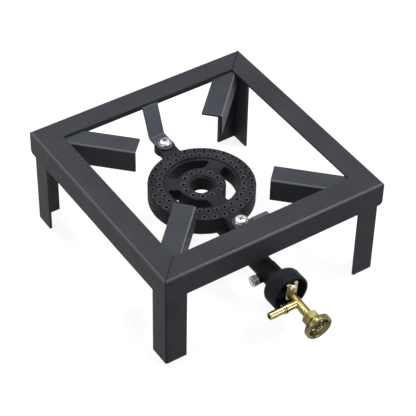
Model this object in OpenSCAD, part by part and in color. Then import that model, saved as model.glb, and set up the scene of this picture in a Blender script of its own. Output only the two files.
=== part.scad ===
// Gas boiling ring on a low square stand.
// Four mitred angle rails stand on four angle legs, with a pot support across each corner.
// A double-ring burner hangs between the front and back rail on two bent straps.
// A cup-shaped air mixer slides on the burner's tube and carries a brass needle valve.
// The valve is at the front, towards -Y, and the stand's feet are at Z = 0.

/* [Stand] */
// Outside width and depth of the square frame
frame_side = 300; // [285:1:340]
// Height of the frame's top face above the floor
stand_h = 136; // [125:1:170]
// Thickness of the rails, legs and pot supports
plate_t = 3; // [2.4:0.1:3.6]
// Outside radius of the bent heels
heel_r = 2.6; // [1:0.1:3.2]
// Width of a rail's top leaf
rail_w = 29.5; // [27:0.5:36]
// Height of a rail's skirt
rail_h = 32.5; // [28:0.5:38]
// Radius at the lower ends of the skirts
skirt_end_r = 5; // [2:0.5:8]
// Width of a leg's leaves
leg_w = 28; // [22:0.5:30]

/* [Pot supports] */
// Width of a support's level leaf
support_w = 25.5; // [20:0.5:27]
// Height of a support's upright leaf
support_h = 31; // [24:0.5:36]
// Distance of the support tips from the middle of the frame
support_tip = 82; // [76:0.5:100]
// Space between a support's outer end and the leg
support_gap = 2; // [1:0.1:4]

/* [Burner straps] */
// Width of the straps
strap_w = 21; // [18:0.5:22]
// Thickness of the straps
strap_t = 3; // [2:0.1:4]
// Inside radius of the strap bends
strap_bend_r = 3; // [1:0.5:5]
// How far the front strap's level top shows inside the front rail
strap_show = 8.5; // [6:0.5:11]
// Space between the back strap's upper end and the skirt
strap_end_gap = 2; // [1:0.5:5]
// Length of the straps' lower tabs from the screws to the bends
strap_run = 18.5; // [16.5:0.5:21]
// Depth of the straps' lower tabs below the rails' top leaves
strap_drop = 39; // [32:0.5:44]

/* [Burner] */
// Distance of the burner's axis behind the middle of the frame
burner_back = 4.5; // [3:0.1:5]
// Outside radius of the outer ring
ring_r = 65; // [61:0.5:67]
// Radial width of the outer ring
ring_w = 23; // [20:0.5:24]
// Width of the low lip along the outer ring's inner edge
lip_w = 3; // [2:0.1:3.5]
// Height of the outer ring's port face above the inner ring
ring_rise = 2.5; // [1:0.1:4]
// Fall of the outer ring's sloped rim
rim_fall = 2.2; // [1:0.1:4]
// Radial width of the sloped rim
rim_w = 6.5; // [5:0.1:7]
// Height of the burner's castings below the inner ring's face
ring_depth = 22; // [18:0.5:26]
// Wall thickness of the castings
cast_t = 3; // [2.5:0.1:3.5]
// Outside radius of the inner ring
boss_r = 29; // [28:0.5:30]
// Radius of the centre hole
centre_r = 12.5; // [10:0.5:13]
// Depth of the funnel at the top of the centre hole
funnel_h = 3.5; // [2:0.1:4]
// Width of the webs between the rings
web_w = 20.5; // [16:0.5:22]
// Depth of the rear webs
web_h = 12; // [8:0.5:16]
// Radius in the corners of the webs
web_fillet = 5; // [2:0.5:6]
// Number of ports in each row of the outer ring
ring_ports = 31; // [24:1:32]
// Number of ports in the inner ring
boss_ports = 12; // [8:1:12]
// Diameter of the ports
port_d = 2.8; // [2:0.1:3]
// Width of the lugs' necks
lug_w = 22; // [18:0.5:24]
// Radius of the lugs' round eyes
lug_eye_r = 13; // [11:0.1:14]
// Thickness of the lugs
lug_h = 8.5; // [7:0.5:12]
// Length of the lugs beyond their screws
lug_end = 10.5; // [9:0.5:11.5]
// Distance of the strap screws outside the outer ring
screw_out = 17.5; // [15:0.5:19]

/* [Mixing tube] */
// Outside radius of the mixing tube
tube_r = 12.4; // [11.8:0.1:13]
// Outside radius of the tube's turned end
spigot_r = 10.6; // [10:0.1:11]
// Radius of the tube's bore
bore_r = 8.8; // [7:0.1:9]
// Depth of the tube's axis below the burner's underside
tube_drop = 8; // [7.6:0.1:10]
// Length of the turned end inside the cup
spigot_proud = 3; // [2:0.1:4]

/* [Air mixer] */
// Distance of the cup's mouth in front of the front rail
mouth_reach = 29.5; // [27:0.5:60]
// Outside radius of the cup
cup_r = 24.3; // [24:0.1:28]
// Length of the cup
cup_l = 23; // [21:0.5:28]
// Wall thickness of the cup
cup_t = 3; // [2:0.1:3.5]
// Radius of the cup's rounded shoulder
cup_shoulder_r = 7; // [3:0.5:9]
// Length of the sleeve
sleeve_l = 25; // [22:0.5:28]
// Wall thickness of the sleeve
sleeve_t = 2.5; // [2:0.1:4]
// Width of the tongue that carries the valve
tongue_w = 12; // [9:0.5:14]
// Thickness of the tongue
tongue_t = 6; // [4:0.5:8]
// Distance of the tongue's free end from the cup's axis
tongue_low = 8.5; // [7.5:0.1:9.5]
// Radius of the boss for the lock screw
boss_lock_r = 6; // [5:0.1:7]
// Length of the boss beyond the sleeve
boss_lock_l = 5; // [3:0.1:7]

/* [Lock screw] */
// Diameter of the lock screw's thread
lock_d = 6; // [5:0.1:6]
// Diameter of the knurled head
lock_head_d = 13; // [10:0.1:16]
// Length of the knurled head
lock_head_l = 7; // [5:0.1:10]
// Distance between the head and the boss
lock_gap = 1; // [0.5:0.1:3]
// Number of ribs on the head
lock_ribs = 24; // [16:1:30]

/* [Valve] */
// Slope of the valve's axis, down towards the handwheel, in degrees
valve_tilt = 6; // [0:0.5:7]
// Outside diameter of the spindle housing
house_d = 11; // [10.5:0.1:12]
// Length of the spindle housing from the fork lug to its outer end
house_l = 42; // [38:0.5:46]
// Outside diameter of the body inside the cup
inner_d = 10; // [9:0.1:11]
// Length of the body inside the cup
inner_l = 11; // [9:0.5:12]
// Width of the fork lug
fork_w = 15; // [13:0.1:15.5]
// Height of the fork lug above the valve's axis
fork_h = 19.4; // [18.5:0.1:19.6]
// Thickness of the fork lug
fork_t = 2.5; // [2:0.1:3]
// Width of the fork's slot
fork_slot = 5; // [4.5:0.1:6]
// Height of the fork's screw above the valve's axis
fork_screw_up = 13.8; // [13:0.1:14.5]
// Distance of the hose tail's axis from the fork lug
tail_out = 14.5; // [13:0.1:17]
// Radius of the side boss
side_r = 5; // [4.8:0.1:5.4]
// Length of the side boss from the valve's axis
side_l = 16.5; // [12:0.5:18]
// Radius of the spindle's chamber
chamber_r = 3.4; // [3.2:0.1:3.8]
// Distance of the valve's seat from the fork lug
seat_out = 8; // [6:0.5:9]
// Diameter of the seat's hole
seat_d = 2.4; // [2:0.1:3]

/* [Hose tail] */
// Outside diameter of the hose tail
tail_d = 9.4; // [8:0.1:10]
// Bore of the hose tail
tail_bore = 5.6; // [4:0.1:6]
// Length of the plain stretch that takes the hose
tail_l = 19.5; // [16:0.5:30]
// Length of the collar
collar_l = 4; // [3:0.5:8]
// Diameter of the collar's flanges
collar_d = 11.6; // [10.5:0.1:14]

/* [Jet] */
// Diameter of the jet's orifice
jet_orifice = 0.9; // [0.6:0.05:1.2]
// Distance across the flats of the jet's hexagon
jet_flats = 8; // [7:0.1:9]
// Length of the jet's hexagon
jet_hex_l = 3.5; // [3:0.1:4]
// Length of the jet's tip
jet_tip_l = 3; // [2:0.1:4]

/* [Gland and spindle] */
// Distance across the flats of the gland nut
gland_flats = 19; // [17:0.1:21]
// Length of the gland nut
gland_l = 9.5; // [8:0.1:11]
// Thickness of the gland nut's outer wall
gland_wall = 2.5; // [2:0.1:3]
// Thickness of the packing ring
packing_t = 1.5; // [1:0.1:2]
// Diameter of the spindle
spindle_d = 6; // [5.4:0.1:6.2]
// Diameter of the spindle's end inside the wheel
spindle_end_d = 5; // [4:0.1:5.2]

/* [Handwheel] */
// Diameter of the handwheel
wheel_d = 34; // [30:0.5:40]
// Thickness of the wheel's rim
rim_t = 8; // [6:0.1:9]
// Radial width of the rim
wheel_rim_w = 3.6; // [3:0.1:4.5]
// Distance from the gland nut to the rim
wheel_gap = 3.5; // [3:0.1:6]
// Thickness of the wheel's web
wheel_web_t = 2.4; // [2:0.1:3]
// Diameter of the wheel's hub
hub_d = 10.5; // [10:0.1:11.5]
// Number of openings in the wheel's web
wheel_slots = 5; // [3:1:5]
// Radial width of the openings
wheel_slot_w = 3.8; // [3:0.1:4]

/* [Fasteners] */
// Diameter of the strap screws
screw_d = 8; // [6:0.1:8]
// Diameter of the strap screws' pan heads
screw_head_d = 16.4; // [14:0.1:17]
// Height of the strap screws' pan heads
screw_head_h = 6; // [4:0.1:7]
// Diameter of the fork lug's screw
fork_screw_d = 4; // [3:0.1:4.2]
// Diameter of the fork screw's head
fork_head_d = 7.6; // [7:0.1:8]
// Height of the fork screw's head
fork_head_h = 2.8; // [2:0.1:3.5]
// Distance across the flats of the wheel nut
wheel_nut_flats = 8; // [7.5:0.1:9]
// Height of the wheel nut
wheel_nut_h = 3.2; // [2.5:0.1:4]
// Thickness of the wheel washer
wheel_washer_t = 0.8; // [0.5:0.1:1.2]

/* [Clearances] */
// Radial clearance of a screw in a threaded hole
thread_gap = 0.05; // [0.03:0.01:0.08]
// Radial clearance of the sleeve on the tube's turned end
slide_gap = 0.08; // [0.05:0.01:0.1]
// Radial clearance of a screw in a drilled hole
hole_gap = 0.4; // [0.2:0.05:0.6]
// Space between the lock screw's point and the tube
lock_point_gap = 0.2; // [0.15:0.05:0.4]
// Space between the needle and its seat when the valve is shut
seat_gap = 0.05; // [0.03:0.01:0.1]
// Space between the sleeve and the tube's shoulder
shoulder_gap = 0.5; // [0.3:0.1:1]

/* [Hidden] */
$fn = 64;

// Overrun of the cuts past the faces they leave
over = 0.5;
// Leg length of the weld beads
weld = 3;

// Places of the stand's faces
half = frame_side / 2;
skirt_in = half - plate_t;
leg_in = skirt_in - plate_t;
leaf_low = stand_h - plate_t;
skirt_low = stand_h - rail_h;

// Place of each support's heel beside its diagonal, as a share of the level leaf's width:
// front left, front right, back right, back left. The leaf crosses the diagonal.
support_heel_shares = [0.27, -0.78, -0.2, 0.24];

// Heights of the burner and its tube
lug_top = leaf_low - strap_drop - strap_t;
ring_top = lug_top + ring_rise;
cast_low = lug_top - ring_depth;
tube_z = cast_low - tube_drop;
lug_low = lug_top - lug_h;

// Distances of the strap screws and the strap bends from the burner's axis
screw_reach = ring_r + screw_out;
strap_low_reach = screw_reach + strap_run;
strap_top_reach = half - rail_w + burner_back - strap_show;

// Radii of the outer ring
ring_in = ring_r - ring_w;
lip_r = ring_in + lip_w;
slope_r = ring_r - rim_w;
row_in_r = lip_r + (slope_r - lip_r) * 0.4;
row_out_r = slope_r + rim_w * 0.27;
duct_in = ring_in + cast_t;
duct_out = ring_r - cast_t;
duct_low = cast_low + cast_t;

// Radii of the inner ring
funnel_r = centre_r + 4 * cast_t / 3;
boss_duct_in = funnel_r + cast_t / 2;
boss_duct_out = boss_r - cast_t;
boss_row_r = (boss_duct_in + boss_duct_out) / 2;
web_angles = [30, 150, 270];

// Places along the mixing tube and the mixer, measured from the middle of the frame
mouth_y = -half - mouth_reach;
cup_back_y = mouth_y + cup_l;
sleeve_y = cup_back_y + sleeve_l;
shoulder_y = sleeve_y + shoulder_gap;
spigot_y = cup_back_y - cup_t - spigot_proud;
sleeve_in = spigot_r + slide_gap;
sleeve_r = sleeve_in + sleeve_t;
cup_in = cup_r - cup_t;
lock_y = sleeve_y - 1.35 * boss_lock_r;

// Places along the valve's axis, measured outwards from the fork lug's middle
fork_back = -fork_t / 2;
body_back = fork_back - inner_l;
thread_l = inner_l / 3;
tail_thread_r = 0.4 * tail_d;
gland_out = house_l + packing_t + gland_wall;
gland_in = gland_out - gland_l;
rim_back = gland_out + wheel_gap;
rim_front = rim_back + rim_t;
hub_back = rim_back - wheel_gap / 3;
hub_front = rim_back + 0.45 * rim_t;
web_front = rim_back + wheel_web_t;
nut_back = hub_front + wheel_washer_t;
nut_front = nut_back + wheel_nut_h;

// Row frame: the middle of the whole outline, halfway between the back rail and the wheel's rim
wheel_reach_y = mouth_y - rim_front * cos(valve_tilt) - wheel_d / 2 * sin(valve_tilt);
middle_y = (half + wheel_reach_y) / 2;

iron = [0.17, 0.17, 0.18];
casting = [0.13, 0.13, 0.14];
bead = [0.22, 0.22, 0.23];
zinc = [0.82, 0.83, 0.85];
brass = [0.80, 0.66, 0.32];
ptfe = [0.93, 0.93, 0.90];

function ray(r, a) = [r * cos(a), r * sin(a)];
function arc(c, r, a0, a1, n = 8) = [for (i = [0:n]) c + ray(r, a0 + (a1 - a0) * i / n)];
function hex_r(flats) = flats / 2 / cos(30);

// Shift from the middle of the frame to the row frame
module in_row() translate([0, -middle_y, 0]) children();

// Shift from the middle of the frame to the burner's axis
module at_burner() translate([0, burner_back, 0]) children();

// From the fork lug's middle, with Z outwards along the valve's axis, Y up and X to the right
module at_valve() translate([0, mouth_y, tube_z]) rotate([90 + valve_tilt, 0, 0]) children();

// Section of an angle bar: heel at the origin, level leaf along +X, upright leaf along -Y
module angle_section(level, upright, t, r) {
    difference() {
        union() {
            translate([0, -t]) square([level, t]);
            translate([0, -upright]) square([t, upright]);
        }
        difference() {
            translate([-over, -r]) square([r + over, r + over]);
            translate([r, -r]) circle(r);
        }
    }
}

// Angle bar along +X with its heel line at Y = 0, Z = 0
module angle_bar(length, level, upright) {
    rotate([90, 0, 90]) linear_extrude(length) angle_section(level, upright, plate_t, heel_r);
}

// Waste outside the rounded lower corner of a skirt's end at +X
module skirt_corner() {
    translate([half - skirt_end_r, -half + plate_t + over, skirt_low + skirt_end_r])
        rotate([90, 0, 0]) linear_extrude(plate_t + 2 * over)
            difference() {
                translate([0, -skirt_end_r - over])
                    square([skirt_end_r + over, skirt_end_r + over]);
                circle(skirt_end_r);
            }
}

// One rail, cut to its mitres by the triangle from the frame's middle to two corners
module rail(turn) {
    color(iron) in_row() rotate([0, 0, turn]) difference() {
        intersection() {
            translate([-half, -half, stand_h]) angle_bar(frame_side, rail_w, rail_h);
            translate([0, 0, skirt_low - over]) linear_extrude(rail_h + 2 * over)
                polygon([[0, 0], [-half, -half], [half, -half]]);
        }
        skirt_corner();
        mirror([1, 0, 0]) skirt_corner();
    }
}

// One leg, with its heel in the corner of the skirts
module leg(turn) {
    color(iron) in_row() rotate([0, 0, turn]) translate([-skirt_in, -skirt_in, 0])
        linear_extrude(leaf_low) mirror([0, 1, 0])
            angle_section(leg_w, leg_w, plate_t, heel_r);
}

// Distance of a support's outer end from the middle of the frame, for its widest side
function support_heel(i) = support_heel_shares[i] * support_w;
function support_side(i) = support_heel(i) > 0 ? -1 : 1;
function support_free(i) = support_heel(i) + support_side(i) * support_w;
function support_wide(i) = max(abs(support_heel(i)), abs(support_free(i)));
function support_end(i) = sqrt(2) * (leg_in - support_gap) - support_wide(i);

// Frame of support i: X out along the diagonal, Y towards the leaf's free edge from the heel
module at_support(i) {
    rotate([0, 0, 225 + 90 * i]) translate([0, support_heel(i), 0])
        mirror([0, support_side(i) > 0 ? 0 : 1, 0]) children();
}

module pot_support(i) {
    color(iron) in_row() at_support(i) translate([support_tip, 0, leaf_low])
        angle_bar(support_end(i) - support_tip, support_w, support_h);
}

// Triangular bead along +X, filling the corner below Z = 0 on the +Y side
module bead_along(length) {
    rotate([90, 0, 90]) linear_extrude(length) polygon([[0, 0], [weld, 0], [0, -weld]]);
}

// Two upright beads at each leg, in the corners between its free edges and the skirts
module leg_welds() {
    color(bead) in_row() for (turn = [0:90:270]) rotate([0, 0, turn])
        for (flip = [0, 1]) mirror([flip, -flip, 0])
            translate([-skirt_in + leg_w, -skirt_in, skirt_low])
                linear_extrude(leaf_low - skirt_low) polygon([[0, 0], [weld, 0], [0, weld]]);
}

// A bead along each support's free edge and one across its outer end, under the top leaves
module support_welds() {
    color(bead) in_row() for (i = [0:3]) at_support(i) {
        start = sqrt(2) * (half - rail_w + weld) - abs(support_free(i));
        translate([start, support_w, leaf_low])
            bead_along(support_end(i) - weld - start);
        translate([support_end(i), 2 * heel_r, leaf_low]) rotate([0, 0, -90])
            mirror([1, 0, 0]) bead_along(support_w - 4 * heel_r);
    }
}

// Middle line of a strap, as distance from the burner's axis and height
strap_low_z = lug_top + strap_t / 2;
strap_top_z = leaf_low - strap_t / 2;
strap_slope = atan2(strap_top_z - strap_low_z, strap_top_reach - strap_low_reach);
strap_mid_r = strap_bend_r + strap_t / 2;
strap_tangent = strap_mid_r * tan(strap_slope / 2);
strap_end = skirt_in - burner_back - strap_end_gap;
strap_low_end = screw_reach - strap_w / 2 - over;

module strap_outline() {
    upper = [strap_top_reach + strap_tangent, strap_top_z - strap_mid_r];
    lower = [strap_low_reach - strap_tangent, strap_low_z + strap_mid_r];
    in_r = strap_bend_r;
    out_r = strap_bend_r + strap_t;
    polygon(concat(
        [[strap_end, leaf_low]],
        arc(upper, out_r, 90, 90 + strap_slope),
        arc(lower, in_r, 270 + strap_slope, 270),
        [[strap_low_end, lug_top + strap_t], [strap_low_end, lug_top]],
        arc(lower, out_r, 270, 270 + strap_slope),
        arc(upper, in_r, 90 + strap_slope, 90),
        [[strap_end, leaf_low - strap_t]]
    ));
}

// A strap, with its lower end rounded about the screw
module strap(turn) {
    color(iron) in_row() at_burner() rotate([0, 0, turn]) difference() {
        intersection() {
            translate([-strap_w / 2, 0, 0]) rotate([90, 0, 90])
                linear_extrude(strap_w) strap_outline();
            translate([0, screw_reach, lug_top - over])
                linear_extrude(strap_drop + strap_t + 2 * over) {
                    circle(strap_w / 2);
                    translate([-strap_w / 2 - over, 0]) square([strap_w + 2 * over, half]);
                }
        }
        translate([0, screw_reach, lug_top - over])
            cylinder(r = screw_d / 2 + hole_gap, h = strap_t + 2 * over);
    }
}

// Beads along both sides of each strap's upper tab, under the top leaves
module strap_welds() {
    color(bead) in_row() at_burner() for (turn = [0, 180]) rotate([0, 0, turn])
        for (flip = [0, 1]) mirror([flip, 0, 0])
            translate([strap_w / 2, strap_end, leaf_low]) rotate([0, 0, -90])
                bead_along(strap_end - half + rail_w - burner_back - weld);
}

// Outline of a web from the inner ring to the outer ring, with rounded corners
module web_outline() {
    small = 0.4 * web_fillet;
    side_in = web_w / 2 + web_fillet;
    side_out = web_w / 2 + small;
    inner = sqrt(pow(boss_r + web_fillet, 2) - side_in * side_in);
    outer = sqrt(pow(ring_in - small, 2) - side_out * side_out);
    edge = concat(
        [[boss_r / 2, side_in / 2]],
        arc([inner, side_in], web_fillet, 180 + atan2(side_in, inner), 270),
        arc([outer, side_out], small, 270, 360 + atan2(side_out, outer)),
        [ray(ring_in + lip_w, atan2(side_out, outer))]
    );
    polygon(concat(edge, [[ring_in + lip_w, 0]],
        [for (i = [len(edge) - 1:-1:0]) [edge[i][0], -edge[i][1]]]));
}

// Radial section of the outer ring's outside
module ring_section() {
    polygon([
        [ring_in, cast_low], [ring_r, cast_low], [ring_r, ring_top - rim_fall],
        [slope_r, ring_top], [lip_r, ring_top], [lip_r, lug_top], [ring_in, lug_top]
    ]);
}

// Radial section of the gas duct inside the outer ring
module ring_duct_section() {
    polygon([
        [duct_in, duct_low], [duct_out, duct_low],
        [duct_out, ring_top - rim_fall - cast_t], [slope_r, ring_top - 4 * cast_t / 3],
        [lip_r + cast_t / 3, ring_top - 4 * cast_t / 3], [duct_in, lug_top - cast_t]
    ]);
}

// Radial section of the inner ring's outside, with the centre hole and its funnel
module boss_section() {
    polygon([
        [centre_r, cast_low], [boss_r, cast_low], [boss_r, lug_top - cast_t / 3],
        [boss_r - cast_t / 3, lug_top], [funnel_r, lug_top], [centre_r, lug_top - funnel_h]
    ]);
}

// A lug: a neck from the outer ring and a round eye about the screw, cut off square
module lug_outline() {
    translate([-lug_w / 2, duct_out]) square([lug_w, screw_reach - duct_out]);
    intersection() {
        translate([0, screw_reach]) circle(lug_eye_r);
        translate([-lug_eye_r, duct_out]) square([2 * lug_eye_r, screw_reach + lug_end - duct_out]);
    }
}

// Holes of the ports, drilled down into the ducts
module ports(count, r, start, top) {
    for (i = [0:count - 1]) rotate([0, 0, start + 360 * i / count])
        translate([r, 0, top - 2 * cast_t]) cylinder(d = port_d, h = 2 * cast_t + over, $fn = 24);
}

module burner_casting() {
    neck_end = burner_back - shoulder_y;
    mouth_end = burner_back - spigot_y;
    bore_end = boss_duct_in;
    color(casting) in_row() at_burner() difference() {
        union() {
            rotate_extrude($fn = 128) ring_section();
            rotate_extrude($fn = 96) boss_section();
            for (a = web_angles) rotate([0, 0, a])
                translate([0, 0, a == 270 ? tube_z : lug_top - web_h])
                    linear_extrude(a == 270 ? lug_top - tube_z : web_h) web_trim() web_outline();
            for (turn = [0, 180]) rotate([0, 0, turn])
                translate([0, 0, lug_low]) linear_extrude(lug_h) lug_outline();
            translate([0, -centre_r - cast_t / 2, tube_z]) rotate([90, 0, 0]) {
                cylinder(r = tube_r, h = neck_end - centre_r - cast_t / 2);
                cylinder(r = spigot_r, h = mouth_end - centre_r - cast_t / 2);
            }
        }
        rotate_extrude($fn = 128) ring_duct_section();
        rotate_extrude($fn = 96) translate([boss_duct_in, duct_low])
            square([boss_duct_out - boss_duct_in, lug_top - duct_low - 4 * cast_t / 3]);
        translate([0, -bore_end, tube_z]) rotate([90, 0, 0])
            cylinder(r = bore_r, h = mouth_end - bore_end + over);
        translate([0, -boss_row_r, tube_z])
            cylinder(r = (boss_duct_out - boss_duct_in) / 2, h = tube_drop + 2 * cast_t);
        translate([0, -(duct_in + duct_out) / 2, tube_z])
            cylinder(r = bore_r * 0.75, h = tube_drop + 2 * cast_t);
        ports(ring_ports, row_in_r, 360 / ring_ports / 8, ring_top);
        ports(ring_ports, row_out_r, -360 * 3 / ring_ports / 8, ring_top);
        ports(boss_ports, boss_row_r, 0, lug_top);
        for (turn = [0, 180]) rotate([0, 0, turn]) translate([0, screw_reach, lug_low - over])
            cylinder(r = screw_d / 2 + thread_gap, h = lug_h + 2 * over);
    }
}

// The part of an outline outside the inner ring's gas duct
module web_trim() {
    difference() {
        children();
        circle(boss_duct_out + cast_t / 2, $fn = 96);
    }
}

// Domed head of a screw, standing on Z = 0, with its edge rounded by a quarter ellipse
module pan_head(d, h) {
    flat = 0.45;
    rotate_extrude() polygon(concat(
        [[0, 0], [d / 2, 0], [d / 2, h / 4]],
        [for (a = [15:15:90]) [d / 2 * (flat + (1 - flat) * cos(a)), h / 4 + 3 * h / 4 * sin(a)]],
        [[0, h]]
    ));
}

// Cross recess, from above Z = 0 down to its depth
module cross_recess(span, depth) {
    bar = span / 4;
    for (turn = [0, 90]) rotate([0, 0, turn])
        translate([-span / 2, -bar / 2, -depth]) cube([span, bar, depth + over]);
}

// Screws through the straps' lower tabs into the tapped lugs
module strap_screws() {
    grip = strap_t + lug_h;
    color(zinc) in_row() at_burner() for (turn = [0, 180]) rotate([0, 0, turn])
        translate([0, screw_reach, lug_top + strap_t]) difference() {
            union() {
                pan_head(screw_head_d, screw_head_h);
                translate([0, 0, -grip - screw_d / 4]) cylinder(d = screw_d, h = grip + screw_d / 4);
            }
            translate([0, 0, screw_head_h]) rotate([0, 0, 30])
                cross_recess(0.6 * screw_head_d, 0.5 * screw_head_h);
        }
}

// Hexagon nut standing on Z = 0, with its corners chamfered on both faces
module hex_nut(flats, h, hole) {
    r = hex_r(flats);
    difference() {
        intersection() {
            cylinder(r = r, h = h, $fn = 6);
            rotate_extrude() polygon([
                [0, 0], [flats / 2, 0], [r, h / 8], [r, 7 * h / 8], [flats / 2, h], [0, h]
            ]);
        }
        translate([0, 0, -over]) cylinder(r = hole, h = h + 2 * over);
    }
}

// Radial section of the mixer, with X as radius and Y as distance out from the sleeve's inner end
module mixer_section() {
    back = sleeve_l;
    mouth = sleeve_l + cup_l;
    inner_corner = cup_shoulder_r - cup_t;
    round_in = max(inner_corner, cup_t / 3);
    difference() {
        union() {
            translate([sleeve_in, 0]) square([sleeve_t, back + cup_t]);
            translate([sleeve_in, back]) square([cup_r - cup_shoulder_r - sleeve_in, cup_l]);
            translate([cup_r - cup_shoulder_r - over, back + cup_shoulder_r])
                square([cup_shoulder_r + over, cup_l - cup_shoulder_r]);
            translate([cup_r - cup_shoulder_r, back + cup_shoulder_r]) circle(cup_shoulder_r);
        }
        difference() {
            translate([0, back + cup_t]) square([cup_in, cup_l]);
            difference() {
                translate([cup_in - round_in, back + cup_t]) square([round_in, round_in]);
                translate([cup_in - round_in, back + cup_t + round_in]) circle(round_in);
            }
        }
        translate([0, back - over]) square([sleeve_in, cup_l]);
        translate([0, mouth]) square([cup_r + over, cup_shoulder_r]);
    }
}

module mixer_cup() {
    color(casting) in_row() difference() {
        union() {
            translate([0, sleeve_y, tube_z]) rotate([90, 0, 0])
                rotate_extrude($fn = 96) mixer_section();
            translate([0, lock_y, tube_z]) rotate([0, -90, 0])
                translate([0, 0, sleeve_in + sleeve_t / 2])
                    cylinder(r = boss_lock_r, h = sleeve_t / 2 + boss_lock_l);
            intersection() {
                at_valve() translate([-tongue_w / 2, tongue_low, fork_back - tongue_t])
                    cube([tongue_w, cup_r, tongue_t]);
                translate([0, cup_back_y, tube_z]) rotate([90, 0, 0])
                    cylinder(r = cup_r - cup_t / 2, h = cup_l);
            }
        }
        translate([0, lock_y, tube_z]) rotate([0, -90, 0])
            cylinder(r = lock_d / 2 + thread_gap, h = sleeve_r + boss_lock_l + over);
        translate([0, sleeve_y + over, tube_z]) rotate([90, 0, 0])
            cylinder(r = sleeve_in, h = sleeve_l + cup_t + over);
        at_valve() translate([0, fork_screw_up, fork_back - tongue_t - over])
            cylinder(r = fork_screw_d / 2 + thread_gap, h = tongue_t + 2 * over);
    }
}

// Knurled lock screw in the sleeve's boss, pointing at the tube
module air_lock_screw() {
    point = spigot_r + lock_point_gap;
    head = sleeve_r + boss_lock_l + lock_gap;
    rib = lock_head_d / 2 * sin(180 / lock_ribs);
    color(zinc) in_row() translate([0, lock_y, tube_z]) rotate([0, -90, 0]) {
        translate([0, 0, point]) cylinder(d = lock_d, h = head - point);
        translate([0, 0, head]) cylinder(d = lock_d * 1.3, h = lock_head_l * 1.15);
        difference() {
            translate([0, 0, head]) cylinder(d = lock_head_d, h = lock_head_l);
            for (i = [0:lock_ribs - 1]) rotate([0, 0, 360 * i / lock_ribs])
                translate([lock_head_d / 2 + rib * 0.2, 0, head - over])
                    cylinder(r = rib * 0.65, h = lock_head_l + 2 * over, $fn = 16);
        }
    }
}

module valve_body() {
    low = fork_w / 2;
    color(brass) in_row() at_valve() difference() {
        union() {
            translate([0, 0, body_back]) cylinder(d = inner_d, h = inner_l + fork_t);
            cylinder(d = house_d, h = house_l);
            translate([-fork_w / 2, 0, fork_back]) cube([fork_w, fork_h, fork_t]);
            translate([0, 0, fork_back]) cylinder(r = low, h = fork_t);
            translate([0, 0, tail_out]) rotate([0, -90, 0]) cylinder(r = side_r, h = side_l);
        }
        translate([0, fork_screw_up, fork_back - over]) cylinder(d = fork_slot, h = fork_t + 2 * over);
        translate([-fork_slot / 2, fork_screw_up, fork_back - over])
            cube([fork_slot, fork_h, fork_t + 2 * over]);
        translate([0, 0, seat_out]) cylinder(r = chamber_r, h = house_l);
        translate([0, 0, body_back]) cylinder(d = seat_d, h = inner_l + fork_t + seat_out);
        translate([0, 0, body_back - over])
            cylinder(r = inner_d / 4 + thread_gap, h = thread_l + 2 * over);
        translate([-chamber_r / 2, 0, tail_out]) rotate([0, -90, 0])
            cylinder(d = tail_bore, h = side_l + over);
        translate([-side_l + thread_l, 0, tail_out]) rotate([0, -90, 0])
            cylinder(r = tail_thread_r + thread_gap, h = thread_l + over);
    }
}

// Jet in the inner end of the body: thread, hexagon and tapered tip, with the orifice through it
module jet_nozzle() {
    tip_r = jet_flats / 4;
    color(brass) in_row() at_valve() translate([0, 0, body_back]) rotate([180, 0, 0]) difference() {
        union() {
            translate([0, 0, -thread_l]) cylinder(d = inner_d / 2, h = thread_l);
            cylinder(r = hex_r(jet_flats), h = jet_hex_l, $fn = 6);
            translate([0, 0, jet_hex_l]) cylinder(r1 = jet_flats / 2.4, r2 = tip_r, h = jet_tip_l);
        }
        translate([0, 0, -thread_l - over]) cylinder(d = jet_flats / 3, h = thread_l + jet_hex_l + over);
        cylinder(d = jet_orifice, h = jet_hex_l + jet_tip_l + over, $fn = 24);
    }
}

// Hose tail, with its thread in the side boss, a two-flange collar and a plain stretch
module hose_tail() {
    flange = 0.36 * collar_l;
    end = collar_l + tail_l;
    chamfer = (tail_d - tail_bore) / 6;
    color(brass) in_row() at_valve() translate([-side_l, 0, tail_out]) rotate([0, -90, 0]) difference() {
        union() {
            translate([0, 0, -thread_l]) cylinder(r = tail_thread_r, h = thread_l + collar_l / 2);
            cylinder(d = tail_d, h = collar_l);
            cylinder(d = collar_d, h = flange);
            translate([0, 0, collar_l - flange]) cylinder(d = collar_d, h = flange);
            translate([0, 0, collar_l]) cylinder(d = tail_d, h = tail_l - chamfer);
            translate([0, 0, end - chamfer])
                cylinder(r1 = tail_d / 2, r2 = tail_d / 2 - chamfer, h = chamfer);
        }
        translate([0, 0, -thread_l - over]) cylinder(d = tail_bore, h = thread_l + end + 2 * over);
    }
}

// Screw through the fork's slot into the tongue
module fork_screw() {
    reach = fork_t + tongue_t + fork_screw_d / 4;
    color(zinc) in_row() at_valve() translate([0, fork_screw_up, fork_t / 2]) difference() {
        union() {
            pan_head(fork_head_d, fork_head_h);
            translate([0, 0, -reach]) cylinder(d = fork_screw_d, h = reach);
        }
        translate([0, 0, fork_head_h]) cross_recess(0.6 * fork_head_d, 0.5 * fork_head_h);
    }
}

// Cap nut over the housing's end, pressing the packing round the spindle
module gland_nut() {
    color(brass) in_row() at_valve() difference() {
        translate([0, 0, gland_in]) hex_nut(gland_flats, gland_l, spindle_d / 2 + slide_gap);
        translate([0, 0, gland_in - over])
            cylinder(r = house_d / 2 + thread_gap, h = gland_l - gland_wall + over);
    }
}

module gland_packing() {
    color(ptfe) in_row() at_valve() translate([0, 0, house_l]) difference() {
        cylinder(d = house_d - 2 * thread_gap, h = packing_t);
        translate([0, 0, -over]) cylinder(r = spindle_d / 2 + slide_gap, h = packing_t + 2 * over);
    }
}

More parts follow.
